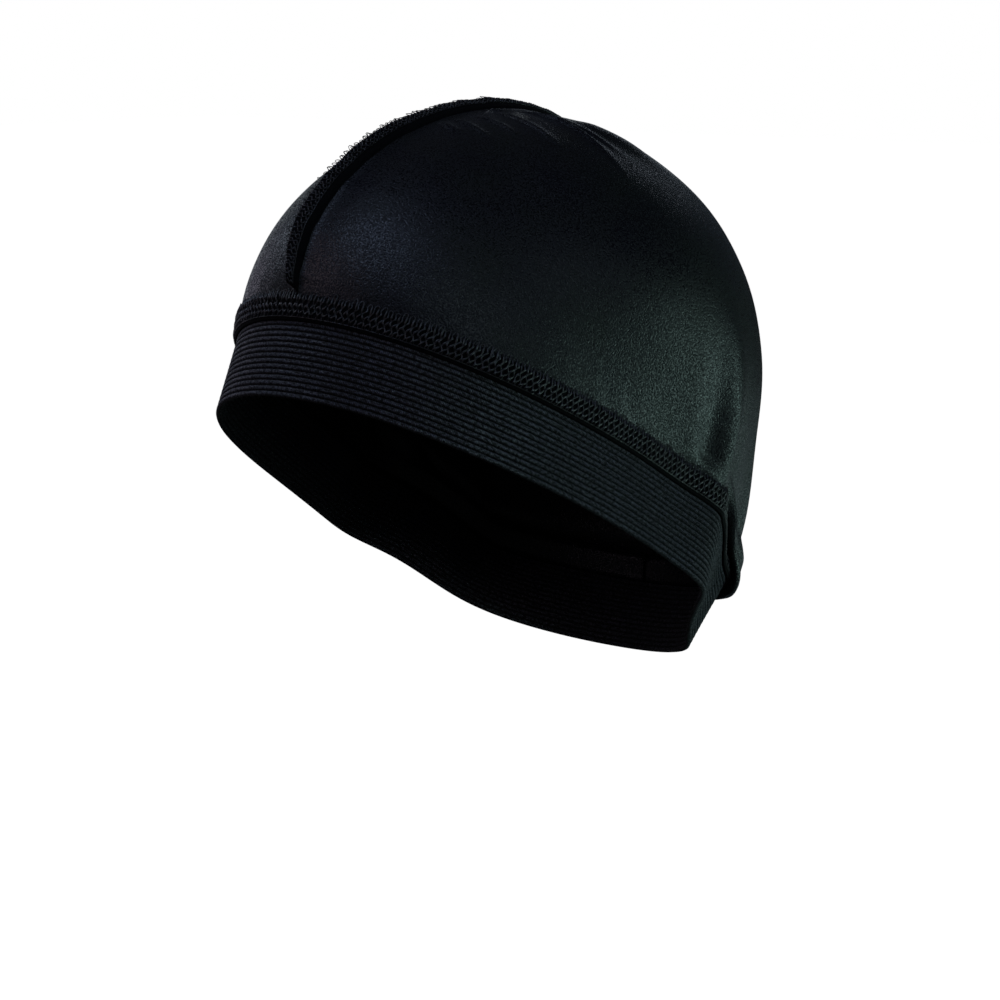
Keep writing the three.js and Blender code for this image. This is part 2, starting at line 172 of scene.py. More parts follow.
def spline(positions, values):
    """Smooth curve through a table, level at both ends, like the solids' own."""
    x = np.array(positions, float)
    y = np.array(values, float)
    gap = np.diff(x)
    matrix = np.eye(len(x))
    pull = np.zeros(len(x))
    for i in range(1, len(x) - 1):
        matrix[i, i - 1 : i + 2] = 1 / gap[i - 1], 2 / gap[i - 1] + 2 / gap[i], 1 / gap[i]
        pull[i] = 3 * ((y[i] - y[i - 1]) / gap[i - 1] ** 2 + (y[i + 1] - y[i]) / gap[i] ** 2)
    slope = np.linalg.solve(matrix, pull)

    def at(place):
        i = np.clip(np.searchsorted(x, place, side="right") - 1, 0, len(x) - 2)
        s = (place - x[i]) / gap[i]
        return (
            y[i] * (1 + 2 * s) * (1 - s) ** 2
            + slope[i] * gap[i] * s * (1 - s) ** 2
            + y[i + 1] * s * s * (3 - 2 * s)
            + slope[i + 1] * gap[i] * s * s * (s - 1)
        )

    return at


def through(points, count):
    """Points along a smooth curve through the given ones, count to each stretch."""
    p = np.array(points, float)
    p = np.vstack([2 * p[0] - p[1], p, 2 * p[-1] - p[-2]])
    s = np.arange(count)[:, None] / count
    made = []
    for a, b, c, d in zip(p[:-3], p[1:-2], p[2:-1], p[3:]):
        made.append(
            0.5 * (2 * b + (c - a) * s + (2 * a - 5 * b + 4 * c - d) * s**2 + (3 * b - a - 3 * c + d) * s**3)
        )
    return np.vstack([*made, p[-2:-1]])


def table_curve(table, k):
    return spline([row[0] for row in table], [row[k] for row in table])


rim_radius, rim_height, band_lean = [table_curve(RIM, k) for k in (1, 2, 3)]
head_height, crown_swell = [table_curve(HEAD, k) for k in (1, 2)]
hang_share = table_curve(HANG, 1)
POUCH_LINE = through(POUCH, POUCH_STEPS_EACH)
POUCH_STEPS = np.arange(len(POUCH_LINE)) / POUCH_STEPS_EACH


def smooth(low, high, value):
    s = np.clip((value - low) / (high - low), 0, 1)
    return s * s * (3 - 2 * s)


def bell(distance, half_width):
    return np.exp(-((distance / half_width) ** 2))


def unit(v):
    return v / np.linalg.norm(v, axis=-1, keepdims=True)


def folded(azimuth):
    return np.abs((azimuth % 360 + 540) % 360 - 180)


def column(value):
    """A number, or one for each point, ready to multiply vectors."""
    return np.asarray(value, float)[..., None]


def rim_point(azimuth):
    a = np.radians(azimuth)
    r = rim_radius(folded(azimuth))
    return np.stack([r * np.sin(a), -r * np.cos(a), rim_height(folded(azimuth))], -1)


def rim_axes(azimuth):
    """Outward and upward directions of the plane that crosses the rim at an azimuth."""
    along = unit(rim_point(azimuth + 0.5) - rim_point(azimuth - 0.5))
    out = unit(np.stack([along[..., 1], -along[..., 0], 0 * along[..., 0]], -1))
    out = out * np.sign((out * rim_point(azimuth)).sum(-1, keepdims=True))
    across = np.cross(along, out)
    return out, across * np.sign(across[..., 2:3])


def leaned(azimuth, share):
    out, across = rim_axes(azimuth)
    lean = column(np.radians(band_lean(folded(azimuth)) * share))
    return across * np.cos(lean) - out * np.sin(lean), out * np.cos(lean) + across * np.sin(lean)


def band_point(azimuth, upward, outward):
    up, face = leaned(azimuth, 1)
    return rim_point(azimuth) + up * column(upward) + face * column(outward)


def strip_point(azimuth, upward, outward):
    share = np.where(band_lean(folded(azimuth)) > 0, STRIP_LEAN_SHARE, STRIP_OUTWARD_SHARE)
    up, face = leaned(azimuth, share)
    return band_point(azimuth, BAND_WIDTH, 0) + up * column(upward) + face * column(outward)


def head_point(side, azimuth):
    turned = np.radians(azimuth + HEAD_TWIST * np.sin(np.radians(azimuth)))
    x = side * HEAD_HALF_WIDTH * np.sin(turned)
    return np.stack([x, HEAD_MIDDLE_Y - HEAD_HALF_LENGTH * np.cos(turned), head_height(azimuth)], -1)


def dome_point(side, azimuth, elevation):
    start = strip_point(side * azimuth, STRIP_WIDTH, 0)
    start = start + (head_point(side, azimuth) - start) * column(smooth(0, HEAD_REACHED, elevation))
    e = np.radians(elevation)
    reach = np.cos(e) * (1 + crown_swell(azimuth) * np.sin(e))
    x = start[..., 0] * reach
    y = APEX_Y + (start[..., 1] - APEX_Y) * reach
    return np.stack([x, y, start[..., 2] + (APEX_Z - start[..., 2]) * np.sin(e)], -1)


def dent_height(azimuth, elevation):
    return sum(h * bell(azimuth - a, da) * bell(elevation - e, de) for a, e, da, de, h in DENTS)


def fold_height(side, x, y):
    total = np.zeros_like(x)
    for fold_side, start, end, height, width in FOLDS:
        if fold_side == side:
            dx, dy = end[0] - start[0], end[1] - start[1]
            length = math.hypot(dx, dy)
            along = ((x - start[0]) * dx + (y - start[1]) * dy) / length**2
            aside = ((x - start[0]) * dy - (y - start[1]) * dx) / length
            fade = smooth(*FOLD_FADE_IN, along) * (1 - smooth(*FOLD_FADE_OUT, along))
            steepness = np.where(side * aside > 0, 1, FOLD_SLOPE)
            total += height * fade * bell(aside, width * steepness)
    return total


def waves(place, period, seed, parts=5):
    """A wandering wave of about that period along a line, from -1 to 1."""
    random = np.random.default_rng(seed)
    total = 0
    for _ in range(parts):
        turn = 2 * np.pi * place / (period * random.uniform(*WAVE_PERIOD_SPREAD))
        total = total + np.sin(turn + random.uniform(*WAVE_PHASES))
    return total / parts**0.5 / WAVE_PEAK


def pouch_section(step):
    return [np.interp(step, POUCH_STEPS, POUCH_LINE[:, k]) for k in (0, 1, 2)]


def wall_point(azimuth, down, out):
    """A place off the wall below the ring's top: down along ring and band, out from their face."""
    on_ring = strip_point(azimuth, STRIP_WIDTH - down, out)
    on_band = band_point(azimuth, BAND_WIDTH + STRIP_WIDTH - down, out)
    return on_ring + (on_band - on_ring) * column(smooth(*WALL_BEND, down))


def plain_point(side, azimuth, elevation):
    """The crown's outer face before any cloth hangs over, with its dents, folds and small relief."""
    top = strip_point(side * azimuth, STRIP_WIDTH, 0)
    point = dome_point(side, azimuth, elevation)
    outward = unit(point - np.stack([0 * top[:, 2], APEX_Y + 0 * top[:, 2], top[:, 2]], -1))
    rise = smooth(0, SMOOTH_FOOT, elevation)
    relief = rise * (dent_height(azimuth, elevation) + fold_height(side, point[:, 0], point[:, 1]))
    above = (APEX_Z - top[:, 2]) * np.sin(np.radians(elevation))
    return point + outward * column(relief + cloth_relief(side, azimuth, above, point))


def hung_point(side, azimuth, step):
    """The same cloth where it stands out and hangs over the band."""
    out, down, shelf = pouch_section(step)
    hang = np.where(azimuth > HANG_START, hang_share(np.maximum(azimuth, HANG_START)), 0)
    drop = max(down, 0) * hang
    out = shelf + (out - shelf) * smooth(0, HANG_CLEAR, hang) - TUCK * smooth(*TUCK_DOWN, drop)
    hung = wall_point(side * azimuth, drop, out)
    hung[:, 2] += max(-down, 0)
    return hung


def crown_row(side, azimuth, kind, value):
    """A row of the crown's outer face, from the front to the back on one side."""
    if kind == "strip":
        return strip_point(side * azimuth, value, 0)
    height = APEX_Z - strip_point(side * azimuth, STRIP_WIDTH, 0)[:, 2]
    lowest = np.degrees(np.arcsin(POUCH_TOP / height))
    out_axis = rim_axes(side * azimuth)[0]
    out_share = up_share = 1
    if kind == "pouch":
        elevation = np.degrees(np.arcsin(POUCH_TOP * value / POUCH_LAST / height))
        point = plain_point(side, azimuth, elevation)
        shift = hung_point(side, azimuth, value) - point
    else:
        point = plain_point(side, azimuth, lowest + (90 - lowest) * value)
        shift = hung_point(side, azimuth, POUCH_LAST) - plain_point(side, azimuth, lowest)
        out_share = 1 - smooth(0, POUCH_FADE, value)
        up_share = 1 - smooth(0, POUCH_UP_FADE, value)
    loose = column(smooth(POUCH_START, POUCH_FULL, azimuth))
    outward_shift = out_axis * (shift * out_axis).sum(-1, keepdims=True)
    return point + loose * (outward_shift * out_share + (shift - outward_shift) * up_share)


def cloth_relief(side, azimuth, above, point):
    """Small gathers over the serged ring, puckers by the centre seam and a gentle sway."""
    foot = smooth(0, RELIEF_FOOT, above)
    gathers = waves(azimuth * MM_PER_DEGREE, GATHER_PERIOD, GATHER_SEED + side)
    gathers = GATHER_HEIGHT * gathers * np.exp(-above / GATHER_FADE) * foot
    line = np.where(azimuth < 90, -1, 1) * above
    beside = np.exp(-np.abs(point[:, 0]) / PUCKER_REACH)
    puckers = waves(line + 6 * side, PUCKER_PERIOD, PUCKER_SEED + side)
    puckers = PUCKER_HEIGHT * puckers * beside * foot
    across = waves(point[:, 0] + 0.4 * point[:, 1], period=55, seed=40)
    upward = waves(point[:, 2] - 0.3 * point[:, 1], period=48, seed=41)
    sway = across + upward
    return gathers + puckers + SWAY_HEIGHT * sway * smooth(0, SWAY_RISE, above)


def parted(side, point):
    """The same place moved off the middle, where the panels leave a slit for the seam."""
    distance = np.abs(point[:, 0])
    point = point.copy()
    point[:, 0] = side * (distance + SEAM_HALF_GAP * np.exp(-distance / PARTING_REACH))
    return point


def graded(stretches):
    """Places along a line, from stretches that each have a start, an end and a step."""
    made = [np.array([float(stretches[0][0])])]
    for start, end, step in stretches:
        made.append(np.linspace(start, end, round((end - start) / step) + 1)[1:])
    return np.concatenate(made)


AZIMUTHS = graded([(0, 3, 0.25), (3, 95, 0.9), (95, 135, 0.55), (135, 177, 0.9), (177, 180, 0.25)])
STRIP_ROWS = 4
POUCH_ROWS = 46
DOME_ROWS = 120
TOP_CROWDING = 1.25  # the rows lie closer together where the top's narrow folds are
FINE_ROWS = (
    [("strip", s) for s in np.linspace(STRIP_START, STRIP_WIDTH - 1, STRIP_ROWS)]
    + [("pouch", s) for s in np.linspace(0, POUCH_LAST, POUCH_ROWS)]
    + [("dome", 1 - (1 - s) ** TOP_CROWDING) for s in np.linspace(0, 1, DOME_ROWS + 1)[1:-1]]
)


def make_mesh(name, points, faces, material, uv=None, flat=False):
    """An object from points and uv in millimetres, and faces of point numbers. Where faces close a
    ring, uv has one more row than the points, for the end of the run along it."""
    mesh = bpy.data.meshes.new(name)
    mesh.from_pydata((np.asarray(points) * MM).tolist(), [], [list(face) for face in faces])
    if uv is not None:
        layer = mesh.uv_layers.new(name="along")
        corners = np.zeros(len(mesh.loops), np.int32)
        mesh.loops.foreach_get("vertex_index", corners)
        corners = corners.reshape(-1, 4)
        columns = len(uv) - len(points)
        closing = (corners // columns).max(1) - (corners // columns).min(1) > 1
        corners += np.where(closing[:, None] & (corners < columns), len(points), 0)
        layer.data.foreach_set("uv", (np.asarray(uv)[corners.ravel()] * MM).astype(np.float32).ravel())
    mesh.polygons.foreach_set("use_smooth", np.full(len(mesh.polygons), not flat))
    mesh.materials.append(material)
    mesh.update()
    obj = bpy.data.objects.new(name, mesh)
    bpy.context.scene.collection.objects.link(obj)
    return obj


def grid_faces(rows, columns, closed_rows=False, closed_columns=False):
    """Four-sided faces of a grid whose points are numbered row by row."""
    i = np.arange(rows if closed_rows else rows - 1)
    j = np.arange(columns if closed_columns else columns - 1)
    i, j = [v.ravel() for v in np.meshgrid(i, j, indexing="ij")]
    a, b = i * columns + j, (i + 1) % rows * columns + j
    c, d = (i + 1) % rows * columns + (j + 1) % columns, i * columns + (j + 1) % columns
    return np.stack([a, b, c, d], -1)


def grid_normals(points):
    across = np.gradient(points, axis=1)
    along = np.gradient(points, axis=0)
    normal = np.cross(along, across)
    size = np.linalg.norm(normal, axis=-1, keepdims=True)
    return normal / np.maximum(size, 1e-9)


def end_caps(count, sides):
    """The two faces that close a run of rings, from the number of points in all and in a ring."""
    return [list(range(sides)), list(range(count - 1, count - 1 - sides, -1))]


def turn_outward(mesh_object):
    """Turns a closed mesh's faces outward where it was wound the other way."""
    mesh = mesh_object.data
    co = np.zeros(len(mesh.vertices) * 3)
    mesh.vertices.foreach_get("co", co)
    co = co.reshape(-1, 3)
    mesh.calc_loop_triangles()
    tri = np.zeros(len(mesh.loop_triangles) * 3, np.int32)
    mesh.loop_triangles.foreach_get("vertices", tri)
    a, b, c = [co[tri.reshape(-1, 3)[:, k]] for k in range(3)]
    if (a * np.cross(b, c)).sum() < 0:
        mesh.flip_normals()


def crown_panel(name, side, material):
    """A half dome of thin cloth with both faces, its edge turned up into the centre seam."""
    rows = [crown_row(side, AZIMUTHS, kind, value) for kind, value in FINE_ROWS]
    outer = np.stack([parted(side, row) for row in rows])
    apex = np.array([side * SEAM_HALF_GAP, APEX_Y, APEX_Z])
    normal = grid_normals(outer) * -side
    lift = TURN_UP * np.exp(-np.maximum(np.abs(outer[..., 0]) - SEAM_HALF_GAP, 0) / TURN_UP_REACH)
    lift[:STRIP_ROWS] = 0
    up = normal.copy()
    up[..., 0] = 0
    outer = outer + unit(up + [0, 0, TINY]) * lift[..., None]
    inner = outer - normal * SATIN_THICKNESS
    height, columns = outer.shape[:2]
    count = height * columns
    points = np.vstack(
        [
            outer.reshape(-1, 3),
            inner.reshape(-1, 3),
            apex + [0, 0, TURN_UP],
            apex + [0, 0, TURN_UP - SATIN_THICKNESS],
        ]
    )
    faces = grid_faces(height, columns)
    last = (height - 1) * columns
    top = 2 * count
    rim = np.arange(columns - 1)
    bottom = np.stack([rim, rim + count, rim + 1 + count, rim + 1], -1)
    step = np.arange(height - 1) * columns
    front = np.stack([step, step + columns, step + columns + count, step + count], -1)
    back = front[:, ::-1] + columns - 1
    made = [*faces.tolist(), *(faces[:, ::-1] + count).tolist(), *bottom.tolist()]
    made += [*front.tolist(), *back.tolist()]
    made += [[last + j, top, last + j + 1] for j in range(columns - 1)]
    made += [[last + j + 1 + count, top + 1, last + j + count] for j in range(columns - 1)]
    made.append([last, last + count, top + 1, top])
    made.append([top, top + 1, last + columns - 1 + count, last + columns - 1])
    obj = make_mesh(name, points, made, material)
    turn_outward(obj)
    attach(obj, "root")
    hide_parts(name.replace("cloth_", ""))
    return obj


def tube(path, radius, sides=6, closed=False):
    """Points and faces of a thread along a path. The radius is one number or one for each point."""
    p = np.asarray(path, float)
    radius = np.broadcast_to(radius, len(p))[:, None, None]
    if closed:
        along = unit(np.roll(p, -1, 0) - np.roll(p, 1, 0))
    else:
        along = unit(np.gradient(p, axis=0))
    helper = np.array([0.31, 0.17, 0.93])
    first = unit(np.cross(along, helper))
    second = np.cross(along, first)
    turn = np.arange(sides) * 2 * np.pi / sides
    ring = first[:, None] * np.cos(turn)[:, None] + second[:, None] * np.sin(turn)[:, None]
    points = (p[:, None] + ring * radius).reshape(-1, 3)
    faces = grid_faces(len(p), sides, closed_rows=closed, closed_columns=True).tolist()
    if not closed:
        faces += end_caps(len(points), sides)
    return points, faces


def joined(parts):
    """One list of points and faces from several."""
    points, faces, count = [], [], 0
    for some_points, some_faces in parts:
        points.append(some_points)
        faces += [[v + count for v in face] for face in some_faces]
        count += len(some_points)
    return np.vstack(points), faces


# Materials


def shader(name):
    material = bpy.data.materials.new(name)
    material.use_nodes = True
    tree = material.node_tree
    return material, tree, tree.nodes["Principled BSDF"]


def node(tree, kind, **inputs):
    made = tree.nodes.new(kind)
    for name, value in inputs.items():
        made.inputs[name].default_value = value
    return made


def object_place(tree):
    return node(tree, "ShaderNodeTexCoord").outputs["Object"]


def noise(tree, vector, scale, detail=2.0):
    made = node(tree, "ShaderNodeTexNoise", Scale=scale, Detail=detail)
    tree.links.new(vector, made.inputs["Vector"])
    return made.outputs["Fac"]


def ramp(tree, value, stops):
    made = tree.nodes.new("ShaderNodeValToRGB")
    elements = made.color_ramp.elements
    while len(elements) < len(stops):
        elements.new(0.5)
    for element, (place, colour) in zip(elements, stops):
        element.position = place
        element.color = (*colour, 1)
    tree.links.new(value, made.inputs["Fac"])
    return made.outputs["Color"]


def ranged(tree, value, low, high, start=0.0, end=1.0):
    limits = {"From Min": start, "From Max": end, "To Min": low, "To Max": high}
    made = node(tree, "ShaderNodeMapRange", **limits)
    tree.links.new(value, made.inputs["Value"])
    return made.outputs["Result"]


def added(tree, first, second, share=1.0):
    """The first value plus a share of the second."""
    made = tree.nodes.new("ShaderNodeMath")
    made.operation = "MULTIPLY_ADD"
    tree.links.new(second, made.inputs[0])
    made.inputs[1].default_value = share
    tree.links.new(first, made.inputs[2])
    return made.outputs["Value"]


def pingpong(tree, value, half):
    """Rises from 0 to half and falls back again, over and over."""
    made = tree.nodes.new("ShaderNodeMath")
    made.operation = "PINGPONG"
    tree.links.new(value, made.inputs[0])
    made.inputs[1].default_value = half
    return made.outputs["Value"]


def mixed(tree, first, second):
    """One colour multiplied by another."""
    made = tree.nodes.new("ShaderNodeMix")
    made.data_type = "RGBA"
    made.blend_type = "MULTIPLY"
    made.inputs["Factor"].default_value = 1
    colours = [entry for entry in made.inputs if entry.type == "RGBA"]
    tree.links.new(first, colours[0])
    tree.links.new(second, colours[1])
    return [entry for entry in made.outputs if entry.type == "RGBA"][0]


def bump(tree, height, distance, strength=1.0, normal=None):
    made = node(tree, "ShaderNodeBump", Strength=strength, Distance=distance)
    tree.links.new(height, made.inputs["Height"])
    if normal is not None:
        tree.links.new(normal, made.inputs["Normal"])
    return made.outputs["Normal"]


def satin_material():
    material, tree, out = shader("satin")
    place = object_place(tree)
    grain = noise(tree, place, scale=1750)
    patches = noise(tree, place, scale=45, detail=3)
    colours = [
        (0.3, (0.0040, 0.0046, 0.0090)),
        (0.52, (0.0055, 0.0065, 0.0085)),
        (0.72, (0.0056, 0.0082, 0.0074)),
    ]
    tree.links.new(ramp(tree, patches, colours), out.inputs["Base Color"])
    cloudy = ranged(tree, patches, low=0.29, high=0.37, start=0.3, end=0.7)
    grainy = ranged(tree, grain, low=-0.26, high=0.4, start=0.38, end=0.62)
    tree.links.new(added(tree, cloudy, grainy), out.inputs["Roughness"])
    out.inputs["Specular IOR Level"].default_value = 0.5
    out.inputs["Sheen Weight"].default_value = 0.08
    out.inputs["Sheen Roughness"].default_value = 0.35
    out.inputs["Sheen Tint"].default_value = (0.75, 0.85, 1, 1)
    swell = noise(tree, place, scale=260, detail=1)
    soft = bump(tree, swell, distance=0.00015, strength=0.2)
    grained = bump(tree, grain, distance=0.00032, strength=0.8, normal=soft)
    tree.links.new(grained, out.inputs["Normal"])
    return material


TICK_LENGTH = 0.56  # length of one stitch of the elastic's knit along a rib


def elastic_material():
    material, tree, out = shader("elastic")
    along = tree.nodes.new("ShaderNodeUVMap")
    along.uv_map = "along"
    split = tree.nodes.new("ShaderNodeSeparateXYZ")
    tree.links.new(along.outputs["UV"], split.inputs["Vector"])
    half_tick = TICK_LENGTH / 2 * MM
    half_rib = RIB_PITCH / 2 * MM
    tick = pingpong(tree, split.outputs["X"], half_tick)
    rib = pingpong(tree, split.outputs["Y"], half_rib)
    tick_height = ranged(tree, tick, low=0, high=1, start=0, end=half_tick)
    rib_height = ranged(tree, rib, low=0, high=1, start=0, end=half_rib)
    drawn = node(tree, "ShaderNodeMapping", Scale=(0.6, 1, 1))
    tree.links.new(along.outputs["UV"], drawn.inputs["Vector"])
    fuzz = noise(tree, drawn.outputs["Vector"], scale=1400)
    patches = noise(tree, object_place(tree), scale=60)
    # Painted shade: the colour darkens almost to black in the grooves between the ribs and is lightest on
    # the ribs' tops.
    shades = [(0.2, (0.02, 0.02, 0.02)), (0.5, (0.7, 0.7, 0.7)), (0.8, (1, 1, 1))]
    colours = [(0.35, (0.0190, 0.0190, 0.0250)), (0.65, (0.0280, 0.0280, 0.0360))]
    tone_and_painted_light = mixed(tree, ramp(tree, patches, colours), ramp(tree, rib_height, shades))
    # Painted highlight and shade: each knit stitch along a rib is lighter on its top and darker between the
    # stitches.
    painted_stitch_highlights = [(0.15, (0.15, 0.15, 0.15)), (0.6, (1.2, 1.2, 1.2))]
    tone_and_painted_light = mixed(tree, tone_and_painted_light, ramp(tree, tick_height, painted_stitch_highlights))
    # Random fibre speckle whose bright specks are painted glints.
    speckle_and_painted_glints = [(0.42, (0.05, 0.05, 0.05)), (0.6, (3.6, 3.8, 4.1))]
    tree.links.new(mixed(tree, tone_and_painted_light, ramp(tree, fuzz, speckle_and_painted_glints)), out.inputs["Base Color"])
    rough = ranged(tree, fuzz, low=0.8, high=0.26, start=0.38, end=0.64)
    in_groove = ranged(tree, rib_height, low=0.6, high=0, start=0.15, end=0.45)
    tree.links.new(added(tree, rough, in_groove), out.inputs["Roughness"])
    out.inputs["Specular IOR Level"].default_value = 0.5
    out.inputs["Sheen Weight"].default_value = 0.12
    out.inputs["Sheen Roughness"].default_value = 0.5
    out.inputs["Sheen Tint"].default_value = (0.85, 0.92, 1, 1)
    ticked = bump(tree, tick_height, distance=0.00022)
    fuzzy = bump(tree, fuzz, distance=0.0007, normal=ticked)
    tree.links.new(fuzzy, out.inputs["Normal"])
    return material


def thread_material():
    material, tree, out = shader("serging_thread")
    place = object_place(tree)
    fibres = noise(tree, place, scale=3200)
    patches = noise(tree, place, scale=120)
    colours = [(0.35, (0.0030, 0.0030, 0.0045)), (0.65, (0.0070, 0.0070, 0.0090))]
    tree.links.new(ramp(tree, patches, colours), out.inputs["Base Color"])
    tree.links.new(ranged(tree, fibres, low=0.25, high=0.42), out.inputs["Roughness"])
    out.inputs["Specular IOR Level"].default_value = 0.95
    out.inputs["Sheen Weight"].default_value = 0.1
    out.inputs["Sheen Roughness"].default_value = 0.4
    tree.links.new(bump(tree, fibres, distance=0.00008, strength=0.6), out.inputs["Normal"])
    return material


def edge_material():
    """The cloth edges under the serging's threads, painted darker and duller than their satin as the shade
    between the threads.
    """
    material, tree, out = shader("shaded_serged_edge")
    fuzz = noise(tree, object_place(tree), scale=1800)
    colours = [(0.3, (0.001, 0.001, 0.0015)), (0.7, (0.004, 0.004, 0.005))]
    tree.links.new(ramp(tree, fuzz, colours), out.inputs["Base Color"])
    out.inputs["Roughness"].default_value = 0.85
    out.inputs["Specular IOR Level"].default_value = 0.15
    tree.links.new(bump(tree, fuzz, distance=0.0003, strength=0.8), out.inputs["Normal"])
    return material


satin = satin_material()
elastic = elastic_material()
thread = thread_material()
shaded_serged_edge = edge_material()


def edged(obj, count):
    """Gives the first faces of a serged piece the cloth edges' finish, darkened as painted shade between the
    threads.
    """
    obj.data.materials.append(shaded_serged_edge)
    under = np.arange(len(obj.data.polygons)) < count
    obj.data.polygons.foreach_set("material_index", under.astype(np.int32))


# Crown panels

left_panel = crown_panel("cloth_crown_panel_left", 1, satin)
right_panel = crown_panel("cloth_crown_panel_right", -1, satin)

# Elastic band

BAND_COLUMNS = 420
GROOVE_DEPTH = 0.9
# share of a rib's width, and depth as a share of the groove's
RIB_PROFILE = [
    (0.0, -1.0),
    (0.1, -0.75),
    (0.19, -0.2),
    (0.31, -0.03),
    (0.5, 0.0),
    (0.69, -0.03),
    (0.81, -0.2),
    (0.9, -0.75),
]
# how far in from the band's edge, and how far off its outer face
INSIDE_EDGE = [(0.1, -1.2), (0.4, -BAND_THICKNESS)]


def ribbed_band(material):
    section = []
    for k in range(RIB_COUNT):
        section += [((k + share) * RIB_PITCH, GROOVE_DEPTH * depth) for share, depth in RIB_PROFILE]
    section.append((BAND_WIDTH, -GROOVE_DEPTH))
    inside = [(BAND_WIDTH - inward, off) for inward, off in INSIDE_EDGE] + INSIDE_EDGE[::-1]
    azimuth = np.arange(BAND_COLUMNS) * 360 / BAND_COLUMNS
    upward = np.array([p[0] for p in section + inside])
    outward = np.array([p[1] for p in section + inside])
    a = azimuth[:, None] + 0 * upward
    points = band_point(a, upward + 0 * a, outward + 0 * a)
    step = np.linalg.norm(np.diff(rim_point(np.append(azimuth, 360)), axis=0), axis=1)
    along = np.concatenate([[0], np.cumsum(step)])
    along *= round(along[-1] / TICK_LENGTH) * TICK_LENGTH / along[-1]
    uv = np.stack(np.broadcast_arrays(along[:, None], upward), -1)
    faces = grid_faces(BAND_COLUMNS, len(upward), closed_rows=True, closed_columns=True)
    obj = make_mesh("ribbed_elastic_band", points.reshape(-1, 3), faces, material, uv.reshape(-1, 2))
    turn_outward(obj)
    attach(obj, "root")
    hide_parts("band")
    return obj


band = ribbed_band(elastic)

# Serged ring over the joint of band and crown

# height over the band and how far off the crown, all the way round the core's section
RING_CORE = [
    (-0.6, 0.25),
    (-0.3, 0.75),
    (0.6, 1.0),
    (3.0, 1.05),
    (6.0, 1.0),
    (7.2, 0.85),
    (7.8, 0.5),
    (7.6, 0.12),
    (4.0, 0.08),
    (0.5, 0.08),
]
# the same for the face that the looper thread lies on
RING_FACE = ([0, 1, 6, 7.4, 8.4], [1.0, 1.1, 1.05, 0.85, 0.45])
RING_COLUMNS = 440
RING_LINE_HEIGHT = 3
RING_STITCH = 2.3
RING_LOOPS = (0.9, 7.7)  # the looper thread's lowest and highest line
RING_NEEDLE_HEIGHT = 0.8
RING_NEEDLE_OFF = (1.02, 1.18, 1.18)
RING_NEEDLE_RADIUS = 0.17
RING_RIPPLE = 0.12
RING_EDGE_WAVE = 0.25

ring_samples = np.linspace(0, 360, 1441)
ring_line = strip_point(ring_samples, RING_LINE_HEIGHT, 0)
ring_steps = np.linalg.norm(np.diff(ring_line, axis=0), axis=1)
ring_length = np.concatenate([[0], np.cumsum(ring_steps)])
RING_ROUND = ring_length[-1]
RING_STITCHES = round(RING_ROUND / RING_STITCH)


def ring_azimuth(along):
    return np.interp(along % RING_ROUND, ring_length, ring_samples)


def ring_place(along, upward, outward):
    """A place on the serged ring: along its line, up from its joint, out from the crown."""
    azimuth = ring_azimuth(along)
    ripple = RING_RIPPLE * waves(along, period=11, seed=60) * smooth(1, 8, upward)
    return strip_point(azimuth, upward, outward + ripple)


def ring_core():
    along = np.arange(RING_COLUMNS) * RING_ROUND / RING_COLUMNS
    upward = np.array([p[0] for p in RING_CORE])
    outward = np.array([p[1] for p in RING_CORE])
    s = along[:, None] + 0 * upward
    edge = RING_EDGE_WAVE * waves(s, period=14, seed=61) * smooth(5, 8, upward + 0 * s)
    points = ring_place(s, upward + edge, outward + 0 * s)
    faces = grid_faces(RING_COLUMNS, len(upward), closed_rows=True, closed_columns=True)
    return points.reshape(-1, 3), faces.tolist()


# One looper stitch, a chain of three ovals from the needle line to the cloth's edge:
# along the seam in stitches, height, how far off it stands, thread radius
LOOP = [
    (0.08, 0.00, 0.02, 0.18),
    (0.02, 0.16, 0.30, 0.33),
    (0.44, 0.33, 0.06, 0.20),
    (0.06, 0.50, 0.30, 0.35),
    (0.04, 0.66, 0.10, 0.20),
    (0.36, 0.84, 0.30, 0.33),
    (0.12, 1.00, 0.08, 0.17),
    (0.28, 1.10, 0.00, 0.15),
    (0.66, 1.08, 0.02, 0.16),
    (0.80, 0.84, 0.30, 0.33),
    (0.94, 0.66, 0.06, 0.20),
    (0.62, 0.50, 0.30, 0.35),
    (0.52, 0.33, 0.12, 0.20),
    (0.84, 0.16, 0.30, 0.33),
    (0.62, 0.00, 0.02, 0.18),
]
LOOP_JITTER = 0.05
LOOP_NUDGES = (-0.1, 0.1)
LOOP_REACHES = (0.5, 1.5)
LOOP_STANDS = (0.7, 1.3)
LOOP_STEPS_EACH = 2


def looper(stitches, pitch, place, low, high, slant, overshoot):
    """The looper thread of a serged edge, stitch by stitch: its path and its radius."""
    loop = np.array(LOOP)
    index = np.repeat(np.arange(stitches), len(loop))
    share, height, off, radius = np.tile(loop, (stitches, 1)).T
    reach = np.repeat(rng.uniform(*LOOP_REACHES, stitches), len(loop))
    nudge = np.repeat(rng.uniform(*LOOP_NUDGES, stitches), len(loop))
    stand = np.repeat(rng.uniform(*LOOP_STANDS, stitches), len(loop))
    share = share + rng.normal(0, LOOP_JITTER, len(share))
    height = np.where(height > 1, 1 + (height - 1) * reach * overshoot, height)
    along = (index + share + nudge + slant * height) * pitch
    upward = low + (high - low) * height
    line = np.column_stack([place(along, upward, off * stand), radius])
    line = through(line, LOOP_STEPS_EACH)
    return line[:, :3], line[:, 3]


def needle_run(stitches, pitch, height, offs):
    """The needle thread's places along a seam, with their heights and how far they stand off."""
    along = np.arange(stitches * len(offs)) * pitch / len(offs)
    return along, height + 0 * along, np.tile(offs, stitches)


